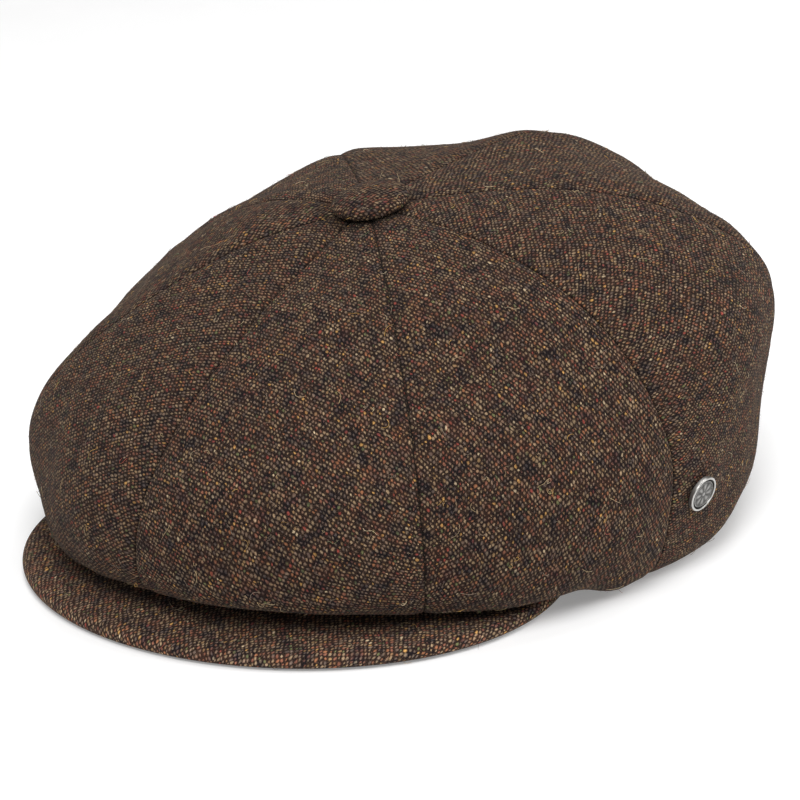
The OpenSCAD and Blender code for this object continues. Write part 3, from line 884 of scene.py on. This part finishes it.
def button_profile(inset, open_r):
    """Half section of the button: the top of its dome, the rolled edge, and the opening underneath."""
    r, roll = BUTTON_D / 2, BUTTON_ROLL
    dome = BUTTON_H - BUTTON_LIFT - 2 * roll
    span = r - roll
    radius = (span * span + dome * dome) / (2 * dome)
    centre = BUTTON_LIFT + roll - (radius - dome)
    top = math.atan2(span, BUTTON_LIFT + roll - centre)
    pts = [((radius + roll - inset) * math.sin(f * top), centre + (radius + roll - inset) * math.cos(f * top))
           for f in np.linspace(0, 1, 22)]
    for phi in np.linspace(top, math.pi, 15)[1:]:
        rad = roll - inset
        pts.append((span + rad * math.sin(phi), BUTTON_LIFT + roll + rad * math.cos(phi)))
    pts.append((open_r, BUTTON_LIFT + inset))
    return pts


def button_cover():
    outer = button_profile(0.0, BUTTON_D / 2 - 5)
    inner = button_profile(1.0, BUTTON_D / 2 - 5)
    verts, faces = lathe(outer + inner[::-1], 128)
    along = np.hypot(verts[:, 0], verts[:, 1])
    turn = np.arctan2(verts[:, 1], verts[:, 0])
    height = np.clip((BUTTON_LIFT + 3.2 - verts[:, 2]) / 3, 0, 1)
    pleat = 1 + 0.012 * height * np.sin(turn * 17 + 0.6 * np.sin(turn * 3))
    verts[:, :2] *= pleat[:, None]
    out = along / 14
    verts[:, 2] += 0.10 * np.sin(turn * 2 + 0.4) * out ** 2 + 0.12 * np.sin(turn * 5 + 1) * out ** 3
    spread = along + np.clip(BUTTON_LIFT + 3.0 - verts[:, 2], 0, 3)
    weave = np.stack([spread * np.cos(turn) + 5000, spread * np.sin(turn) + 900, 0 * turn], -1)
    world = place(verts, BUTTON_SEAT)
    ob = add_mesh("button_cloth", world, faces, {"weave": weave, "seam": 0 * turn + 9}, sharp=65)
    n = 128 * 30
    SKINS.append((world[1:1 + n].reshape(30, 128, 3), SEAT_N + 0 * world[1:1 + n].reshape(30, 128, 3),
                  np.full((30, 128), 9.0)))
    return piece(ob, TWEED, "tweed", "button_cover")


button_cover()


def turned_ring(profile, turns):
    """Points and faces of a ring turned from a closed profile that stays off the axis."""
    ring = np.linspace(0, 2 * math.pi, turns, endpoint=False)
    verts = [np.stack([r * np.cos(ring), r * np.sin(ring), z + 0 * ring], -1) for r, z in profile]
    faces = []
    for i in range(len(profile)):
        a, b = i * turns, (i + 1) % len(profile) * turns
        faces += [[a + j, b + j, b + (j + 1) % turns, a + (j + 1) % turns] for j in range(turns)]
    return np.concatenate(verts), faces


def soft_disc(name, seat, low, high, r, hole, material, slot, node):
    """A flat cloth disc with rounded edges and a hole."""
    t = (high - low) / 2
    mid = (high + low) / 2
    half_turn = np.linspace(math.pi / 2, -math.pi / 2, 7)
    prof = [(r - t + t * math.cos(p), mid + t * math.sin(p)) for p in half_turn]
    prof += [(hole + t * 0.5 - t * 0.5 * math.cos(p), mid - t * math.sin(p) * 0.98)
             for p in half_turn]
    verts, faces = turned_ring(prof, 72)
    verts[:, 2] += 0.06 * np.sin(np.arctan2(verts[:, 1], verts[:, 0]) * 3)
    weave = verts + [3000.0, 10.0, 0]
    ob = add_mesh(name, place(verts, seat), faces, {"weave": weave})
    return piece(ob, material, slot, node)


soft_disc("button_anchor_cloth", BUTTON_SEAT, -3.4, -2.4, 6.0, 1.5, SWEAT, "cotton", "button_anchor")


# ---------------------------------------------------------------- badge
BADGE_N = np.cross(BADGE_ACROSS, BADGE_RISE)
BADGE_SEAT = aim(BADGE_P, unit(BADGE_N - BADGE_LEAN * BADGE_RISE))


def badge():
    r, turns = BADGE_D / 2, 144
    base, top = 0.6, 0.6 + BADGE_T
    rim = [(r - 0.35 + 0.35 * math.cos(p), top - 0.35 + 0.35 * math.sin(p))
           for p in np.linspace(0, math.pi / 2, 6)]
    rim += [(r - 0.62 - 0.2 * math.sin(p), top - 0.2 + 0.2 * math.cos(p))
            for p in np.linspace(0.3, math.pi / 2, 4)]
    groove = [(r - 0.86, top - 0.55), (r - 1.0, top - 0.62), (r - 1.35, top - 0.62), (r - 1.5, top - 0.5)]
    inner = r - 1.55
    step = [(inner, top - 0.22), (inner - 0.12, top - 0.15)]
    rings = [f * (inner - 0.2) for f in np.linspace(1, 0.03, 40)]
    ring = np.linspace(0, 2 * math.pi, turns, endpoint=False)
    back = [(0.8, -5.0), (0.8, base), (r - 0.5, base), (r - 0.05, base + 0.25), (r, base + 0.6)]
    pts, hollow = [np.array([[0, 0, -5.0]])], [np.zeros(1)]

    def add(a, z, dark):
        pts.append(np.stack([a * np.cos(ring), a * np.sin(ring), z + 0 * ring], -1))
        hollow.append(dark + 0 * ring)

    for a, z in back:
        add(a, z, 0.4)
    for a, z in rim:
        add(a, z, 0.0)
    for a, z in groove:
        add(a, z, 1.0)
    for a, z in step:
        add(a, z, 0.25)
    for a in rings:
        f = a / inner
        petal = np.clip(np.cos(ring * 4) ** 2 * 1.5 - 0.55, 0, 1) * np.clip(1 - abs(f - 0.56) / 0.30, 0, 1)
        petal = np.sqrt(np.clip(petal, 0, 1)) * (0.16 + 0 * ring)
        dot = 0.17 * max(0, 1 - (f / 0.17) ** 2) ** 0.5
        beads = 0.05 * np.clip(np.cos(ring * 24), 0, 1) * math.exp(-((f - 0.93) / 0.035) ** 2)
        z = top - 0.34 + petal + dot + beads + 0.03 * (1 - f * f)
        dark = np.clip(0.80 - (petal + dot) * 3.0 - beads * 6, 0.22, 1)
        add(a, z, dark)
    pts.append(np.array([[0, 0, top - 0.1]]))
    hollow.append(np.zeros(1))
    verts, dark = np.concatenate(pts), np.concatenate(hollow)
    count = (len(verts) - 2) // turns
    faces = [[0, 1 + (j + 1) % turns, 1 + j] for j in range(turns)]
    for i in range(count - 1):
        a = 1 + i * turns
        b = a + turns
        faces += [[a + j, a + (j + 1) % turns, b + (j + 1) % turns, b + j] for j in range(turns)]
    a, last = 1 + (count - 1) * turns, len(verts) - 1
    faces += [[a + j, a + (j + 1) % turns, last] for j in range(turns)]
    ob = add_mesh("badge_disc", place(verts, BADGE_SEAT), faces, {"recess": dark}, sharp=38)
    return piece(ob, SILVER, "silver", "badge")


badge()


def badge_clutch():
    """Round spring clutch on the badge's post, with a pressed rim."""
    top, r = -CLOTH_T - 2.0, BADGE_D / 2 - 3.0
    prof = [(0.9, top - 1.0), (r - 0.3, top - 1.0), (r - 0.06, top - 0.88), (r, top - 0.65), (r, top - 0.35),
            (r - 0.1, top - 0.08), (r - 0.35, top), (r - 0.8, top - 0.12), (r - 1.2, top - 0.3),
            (1.5, top - 0.3), (1.3, top - 0.1), (0.9, top - 0.05)]
    verts, faces = turned_ring(prof, 48)
    recess = np.full(len(verts), 0.15)
    ob = add_mesh("badge_clutch_disc", place(verts, BADGE_SEAT), faces, {"recess": recess}, sharp=40)
    return piece(ob, STEEL, "steel", "badge_clutch")


badge_clutch()


# ---------------------------------------------------------------- lining
def lining_section(a, w):
    """Points and tangents of the lining.

    w is 0 to 1 inside the band, 1 to 2 up the side and 2 to 3 over the top."""
    r0 = oval_reach(LINING_OFF + LINING_T, a)
    t1 = around(LINING_TS, a)
    inset = CLOTH_T + LINING_GAP
    top = top_curve(a)

    def under(t):
        d = bezier_dir(top, t)
        return bezier(top, t) + inset * np.stack([-d[..., 1], d[..., 0]], -1), d

    p1, d1 = under(t1)
    k = ((p1[..., 0] - r0) * 0.5 + 4)[..., None]
    side = stack((r0, BAND_H + 2), (r0, BAND_H + 9)) + [p1 - k * d1, p1]
    t3 = t1 + np.clip(w - 2, 0, 1) * (top_end(a, 9) - t1)
    p3, d3 = under(t3)
    low = np.stack(np.broadcast_arrays(r0, BAND_H - 8 + 10 * np.clip(w, 0, 1)), -1)
    up = np.stack([0 * r0, 1 + 0 * r0], -1)
    w = w[..., None]
    mid = np.clip(w[..., 0] - 1, 0, 1)
    p = np.where(w <= 1, low, np.where(w <= 2, bezier(side, mid), p3))
    d = np.where(w <= 1, up, np.where(w <= 2, bezier_dir(side, mid), d3))
    return p, d


def lining_gore(k, name):
    w = np.concatenate([np.linspace(0, 1, 5, endpoint=False), np.linspace(1, 2, 30, endpoint=False),
                        np.linspace(2, 3, 44)])
    cols = np.concatenate([[0.0, 0.12, 0.3, 0.6, 1.0, 1.7], np.linspace(2.6, 42.4, 26),
                           [43.3, 44, 44.4, 44.7, 44.88, 45.0]])
    a = (k * STEP_A + cols)[None] + 0 * w[:, None]
    wide = w[:, None] + 0 * a
    rz, tangent = lining_section(a, wide)
    r = rz[..., 0]
    side = np.degrees(GAP / 2 / r)
    a = k * STEP_A + side + (a - k * STEP_A) * (STEP_A - 2 * side) / STEP_A
    rz, tangent = lining_section(a, wide)
    p, n = spin(rz, a), spin_normal(tangent, a)
    d = np.radians(np.minimum(a - k * STEP_A, (k + 1) * STEP_A - a)) * r
    free = np.clip((wide - 1.05) / 0.5, 0, 1) * np.clip((3 - wide) / 0.2, 0, 1)
    t1 = around(LINING_TS, a)
    over = 1 + (t1 + np.clip(wide - 2, 0, 1) * (top_end(a, 9) - t1)) / top_end(a, APEX_R)
    follow = np.minimum(slump(a, over), 1.0)
    follow = follow * np.clip((wide - 1.1) / 0.9, 0, 1) * np.clip((2 - over) / 0.25, 0, 1)
    soft = np.clip(d / 7, 0, 1)
    gather = np.sin(np.radians(a) * 44 + 1.7 * np.sin(np.radians(a) * 5 + k))
    gather = gather * np.exp(-((wide - 1.55) / 0.4) ** 2)
    label = np.exp(-((a % 360 - 180) / 24) ** 4) * (wide > 2.2)
    lift = (0.55 * gather + 0.6 * wander(p, [17, 23, 31, 44], SEED + 40 + k)) * free * soft * (1 - label)
    lift += 1.0 * np.exp(-d / 0.9) * free - 0.15 * free + follow
    outer = p + lift[..., None] * n
    inner = p + (lift - LINING_T)[..., None] * n
    GORE_FLATS[name] = turned(develop(p), 0, 20 + k)
    ob = add_sheet("lining_" + name, outer, inner, GORE_FLATS[name], d)
    return piece(ob, SATIN, "satin", "lining_gore_" + name)


for k, name in enumerate(PANELS):
    lining_gore(k, name)


# ---------------------------------------------------------------- label and tab
def woven_label():
    a = 180 + (np.linspace(0, 1, 41) - 0.5) * 28
    t = np.linspace(0.55, 0.75, 25)
    depth = CLOTH_T + LINING_GAP + LINING_T + 3 * GAP
    aa, tt = np.meshgrid(a, t, indexing="xy")
    top = top_curve(aa)
    p, d = bezier(top, tt), bezier_dir(top, tt)
    n = np.stack([-d[..., 1], d[..., 0]], -1)
    follow = np.minimum(slump(aa, 1 + tt / top_end(aa, APEX_R)), 1.0)[..., None]
    outer, inner = spin(p + (depth - follow) * n, aa), spin(p + (depth + 0.5 - follow) * n, aa)
    flat = develop(outer)
    flat[..., 1] -= flat[..., 1].mean()
    half = np.abs(flat[..., 0]).max(), np.abs(flat[..., 1]).max()
    flat[..., 0] *= 26.0 / half[0]
    flat[..., 1] *= 15.0 / half[1]
    ob = add_sheet("woven_label_cloth", outer, inner, flat)
    return piece(ob, LABEL, "label", "woven_label")


woven_label()


def size_tab():
    q = np.linspace(156, 164, 21)
    z = np.linspace(SWEAT_H - 12, SWEAT_H + 8, 25)
    qq, zz = np.meshgrid(q, z, indexing="xy")
    lean = 0.9 * np.clip((zz - SWEAT_H) / 8, 0, 1) ** 2
    grids = []
    for off in (-GAP, -GAP - 0.6):
        x, y = oval(off - lean, qq)
        grids.append(np.stack([x, y, zz], -1))
    arc = (qq - 160) / 8 * 12
    ob = add_sheet("size_tab_cloth", grids[0], grids[1], np.stack([arc, zz - SWEAT_H + 2, 0 * arc], -1))
    return piece(ob, TAB, "label", "size_tab")


size_tab()


# ---------------------------------------------------------------- stitches of the sweatband
def tubes(lines, radii, sides=5):
    """Closed tubes round polylines of the same number of points."""
    lines = np.asarray(lines)
    count, length = lines.shape[:2]
    tangent = np.gradient(lines, axis=1)
    tangent /= np.maximum(np.linalg.norm(tangent, axis=-1, keepdims=True), 1e-9)
    ref = np.where(np.abs(tangent[..., 2:]) < 0.8, [0.0, 0, 1], [1.0, 0, 0])
    b = np.cross(tangent, ref)
    b /= np.linalg.norm(b, axis=-1, keepdims=True)
    c = np.cross(tangent, b)
    phi = np.linspace(0, 2 * math.pi, sides, endpoint=False)
    ring = b[..., None, :] * np.cos(phi)[:, None] + c[..., None, :] * np.sin(phi)[:, None]
    verts = lines[:, :, None] + ring * np.asarray(radii)[:, :, None, None]
    verts = verts.reshape(-1, 3)
    base = np.arange(count)[:, None, None] * length * sides
    i, j = np.arange(length - 1)[None, :, None] * sides, np.arange(sides)[None, None]
    jn = (j + 1) % sides
    near, far = base + i, base + i + sides
    quads = np.stack(np.broadcast_arrays(near + j, near + jn, far + jn, far + j), -1)
    faces = quads.reshape(-1, 4).tolist()
    first = np.arange(count)[:, None] * length * sides
    faces += (first + np.arange(sides)[::-1]).tolist()
    faces += (first + (length - 1) * sides + np.arange(sides)).tolist()
    return verts, faces


def stitching():
    lines, radii = [], []
    for height, off in ((SWEAT_H - 2.2, -0.05), (3.2, -0.05)):
        count = 172
        for i in range(count):
            q0 = -177 + 354 * i / count
            q = q0 + np.array([0.0, 0.25, 0.7, 1.15, 1.4])
            lift = np.array([0.45, 0.02, -0.18, 0.02, 0.45])
            x, y = oval(off + lift, q)
            z = height + (arch(q) if height < 10 else 0 * q) + 0.5
            lines.append(np.stack([x, y, z], -1))
            radii.append([0.10, 0.2, 0.23, 0.2, 0.10])
    verts, faces = tubes(lines, radii, 6)
    weave = verts * 2 + [900, 0, 0]
    ob = add_mesh("sweatband_stitching", verts, faces, {"weave": weave})
    return piece(ob, THREAD, "cotton")


stitching()


# ---------------------------------------------------------------- loose wool fibres
# Two pale wisps caught behind the button, as offsets from the middle of its seat
BUTTON_WISPS = [[(-6.0, 11.0, 2.5), (-6.4, 12.2, 5.0), (-6.0, 12.8, 7.4), (-5.2, 13.0, 9.2)],
                [(2.4, 12.2, 2.5), (2.2, 13.6, 4.8), (1.2, 14.4, 7.2), (0.0, 14.8, 9.0)]]


def fibres():
    """Curly slub ends and a short nap that stand off the tweed."""
    rng = np.random.default_rng(SEED + 99)
    spots = []
    for outer, n, d in SKINS:
        a, b, c = outer[:-1, :-1], outer[1:, :-1], outer[:-1, 1:]
        area = np.linalg.norm(np.cross(b - a, c - a), axis=-1)
        ok = (d[:-1, :-1] > 0.8)
        spots.append((outer, n, area * ok))
    weight = np.array([s[2].sum() for s in spots])
    groups = []
    for count, steps, length, radius, stand, curl, tint in (
            (900, 9, (2.0, 6.5), 0.085, (0.15, 0.65), 1.5, (0.42, 1.0)),
            (7000, 4, (0.7, 1.8), 0.034, (0.05, 0.75), 0.5, (0.0, 0.72))):
        lines, radii, tints = [], [], []
        share = rng.multinomial(count, weight / weight.sum())
        for (outer, n, area), many in zip(spots, share):
            if not many:
                continue
            pick = rng.choice(area.size, many, p=area.ravel() / area.sum())
            i, j = np.unravel_index(pick, area.shape)
            u, v = rng.random((2, many, 1))
            p = outer[i, j] * (1 - u) * (1 - v) + outer[i + 1, j] * u * (1 - v)
            p = p + outer[i, j + 1] * (1 - u) * v + outer[i + 1, j + 1] * u * v
            du, dv = outer[i + 1, j] - outer[i, j], outer[i, j + 1] - outer[i, j]
            up = np.cross(du, dv)
            up /= np.maximum(np.linalg.norm(up, axis=-1, keepdims=True), 1e-9)
            up *= np.sign((up * n[i, j]).sum(-1, keepdims=True) + 1e-9)
            side = du / np.maximum(np.linalg.norm(du, axis=-1, keepdims=True), 1e-9)
            other = np.cross(up, side)
            heading = rng.uniform(0, 2 * math.pi, many)
            bend = rng.normal(0, curl, many)
            sway = rng.normal(0, curl * 0.7, many)
            long = rng.uniform(*length, many)
            tall = rng.uniform(*stand, many)
            s = np.linspace(0, 1, steps)
            angle = heading[:, None] + bend[:, None] * s * 1.7 + sway[:, None] * np.sin(s * 5)
            seg = (long / (steps - 1))[:, None]
            x = np.cumsum(np.cos(angle) * seg, 1) - np.cos(angle[:, :1]) * seg
            y = np.cumsum(np.sin(angle) * seg, 1) - np.sin(angle[:, :1]) * seg
            if steps > 6:
                z = tall[:, None] * np.sin(math.pi * np.clip(s, 0, 0.97)) + 0.03
            else:
                z = tall[:, None] * s - 0.02
                x, y = x * 0.75, y * 0.75
            line = p[:, None] + x[..., None] * side[:, None] + y[..., None] * other[:, None]
            line = line + z[..., None] * up[:, None]
            line[..., 2] = np.maximum(line[..., 2], 0.15)
            lines.append(line)
            radii.append(radius * rng.uniform(0.75, 1.3, (many, 1)) * np.linspace(1, 0.55, steps)[None])
            tints.append(rng.uniform(*tint, many))
        if steps > 6:
            for path in BUTTON_WISPS:
                along = np.linspace(0, len(path) - 1, steps)
                knots = range(len(path))
                line = np.stack([np.interp(along, knots, [q[i] for q in path]) for i in range(3)], -1)
                lines.append((line + BUTTON_SEAT[1])[None])
                radii.append(np.full((1, steps), 0.09))
                tints.append(np.array([0.74]))
        lines, radii, tints = np.concatenate(lines), np.concatenate(radii), np.concatenate(tints)
        verts, faces = tubes(lines, radii, 3)
        groups.append((verts, faces, np.repeat(tints, steps * 3)))
    for name, (verts, faces, tint) in zip(("loose_fibres", "wool_nap"), groups):
        ob = add_mesh(name, verts, faces, {"tint": tint}, sharp=180)
        piece(ob, FIBRE, "tweed")


fibres()


def cut_of(flat, area):
    """A cut's size in whole mm, from its cloth rolled out flat, and its area in whole square cm."""
    return round(np.ptp(flat[..., 0])), round(np.ptp(flat[..., 1])), round(area / 100)


for name in PANELS:
    outer = CROWN_SKINS[name]
    panel_cut = cut_of(develop(outer), skin_area(outer))


# ---------------------------------------------------------------- CAD nodes that stay
for node, material in (("button_shell", STEEL), ("button_back", STEEL)):
    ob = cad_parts[node]
    for slot in ob.material_slots:
        slot.material = material


# ---------------------------------------------------------------- stage, light, camera
def stage():
    s = Shade("paper_floor")
    grain = s.noise(s.node("ShaderNodeTexCoord").outputs["Object"], 40, 2, 0.5)
    colour = s.ramp(grain, [(0.3, (0.80, 0.80, 0.80)), (0.7, (0.82, 0.82, 0.82))])
    paper = s.finish(Base_Color=colour, Roughness=0.9, Emission_Color=(1, 1, 1, 1), Emission_Strength=0.24)
    size = 6.0
    me = bpy.data.meshes.new("floor")
    z = -0.0004
    corners = [(-size, -size, z), (size, -size, z), (size, size, z), (-size, size, z)]
    me.from_pydata(corners, [], [(0, 1, 2, 3)])
    me.materials.append(paper)
    ob = bpy.data.objects.new("floor", me)
    bpy.context.scene.collection.objects.link(ob)


def lamp(name, place_at, target, size, power, colour=(1, 1, 1)):
    data = bpy.data.lights.new(name, "AREA")
    data.shape, data.size, data.energy, data.color = "DISK", size, power, colour
    ob = bpy.data.objects.new(name, data)
    ob.location = place_at
    ob.rotation_mode = "QUATERNION"
    ob.rotation_quaternion = (Vector(target) - Vector(place_at)).to_track_quat("-Z", "Y")
    bpy.context.scene.collection.objects.link(ob)


stage()
world = bpy.data.worlds.new("studio")
world.use_nodes = True
world.node_tree.nodes["Background"].inputs[0].default_value = (1, 1, 1, 1)
world.node_tree.nodes["Background"].inputs[1].default_value = 0.30
bpy.context.scene.world = world
lamp("key", (0.65, -0.90, 1.20), (0, 0, 0.03), 0.9, 19.0)
lamp("top", (-0.10, 0.35, 1.50), (0, 0, 0.03), 1.3, 11.0)
lamp("side", (1.30, 0.50, 1.00), (0, 0, 0.05), 0.7, 9.0)


def camera():
    az, el, roll = math.radians(38.885), math.radians(19.839), math.radians(-2.674)
    dist, target = 1360.574, np.array([0, 0, 50.0])
    back = np.array([math.sin(az) * math.cos(el), -math.cos(az) * math.cos(el), math.sin(el)])
    right = np.array([math.cos(az), math.sin(az), 0])
    up = np.cross(back, right)
    right, up = math.cos(roll) * right + math.sin(roll) * up, -math.sin(roll) * right + math.cos(roll) * up
    at = target + back * dist
    look = target - 0.263 * right - 8.012 * up
    z = unit(at - look)
    x = unit(np.cross(up, z))
    y = np.cross(z, x)
    data = bpy.data.cameras.new("camera")
    data.lens, data.sensor_width = 169.6, 36.0
    data.clip_start, data.clip_end = 0.05, 50
    ob = bpy.data.objects.new("camera", data)
    m = Matrix.Identity(4)
    for i, axis in enumerate((x, y, z)):
        for j in range(3):
            m[j][i] = axis[j]
    for j in range(3):
        m[j][3] = at[j] * MM
    ob.matrix_world = m
    bpy.context.scene.collection.objects.link(ob)
    bpy.context.scene.camera = ob


camera()
bpy.context.scene.view_settings.view_transform = "Standard"

bpy.context.view_layer.update()
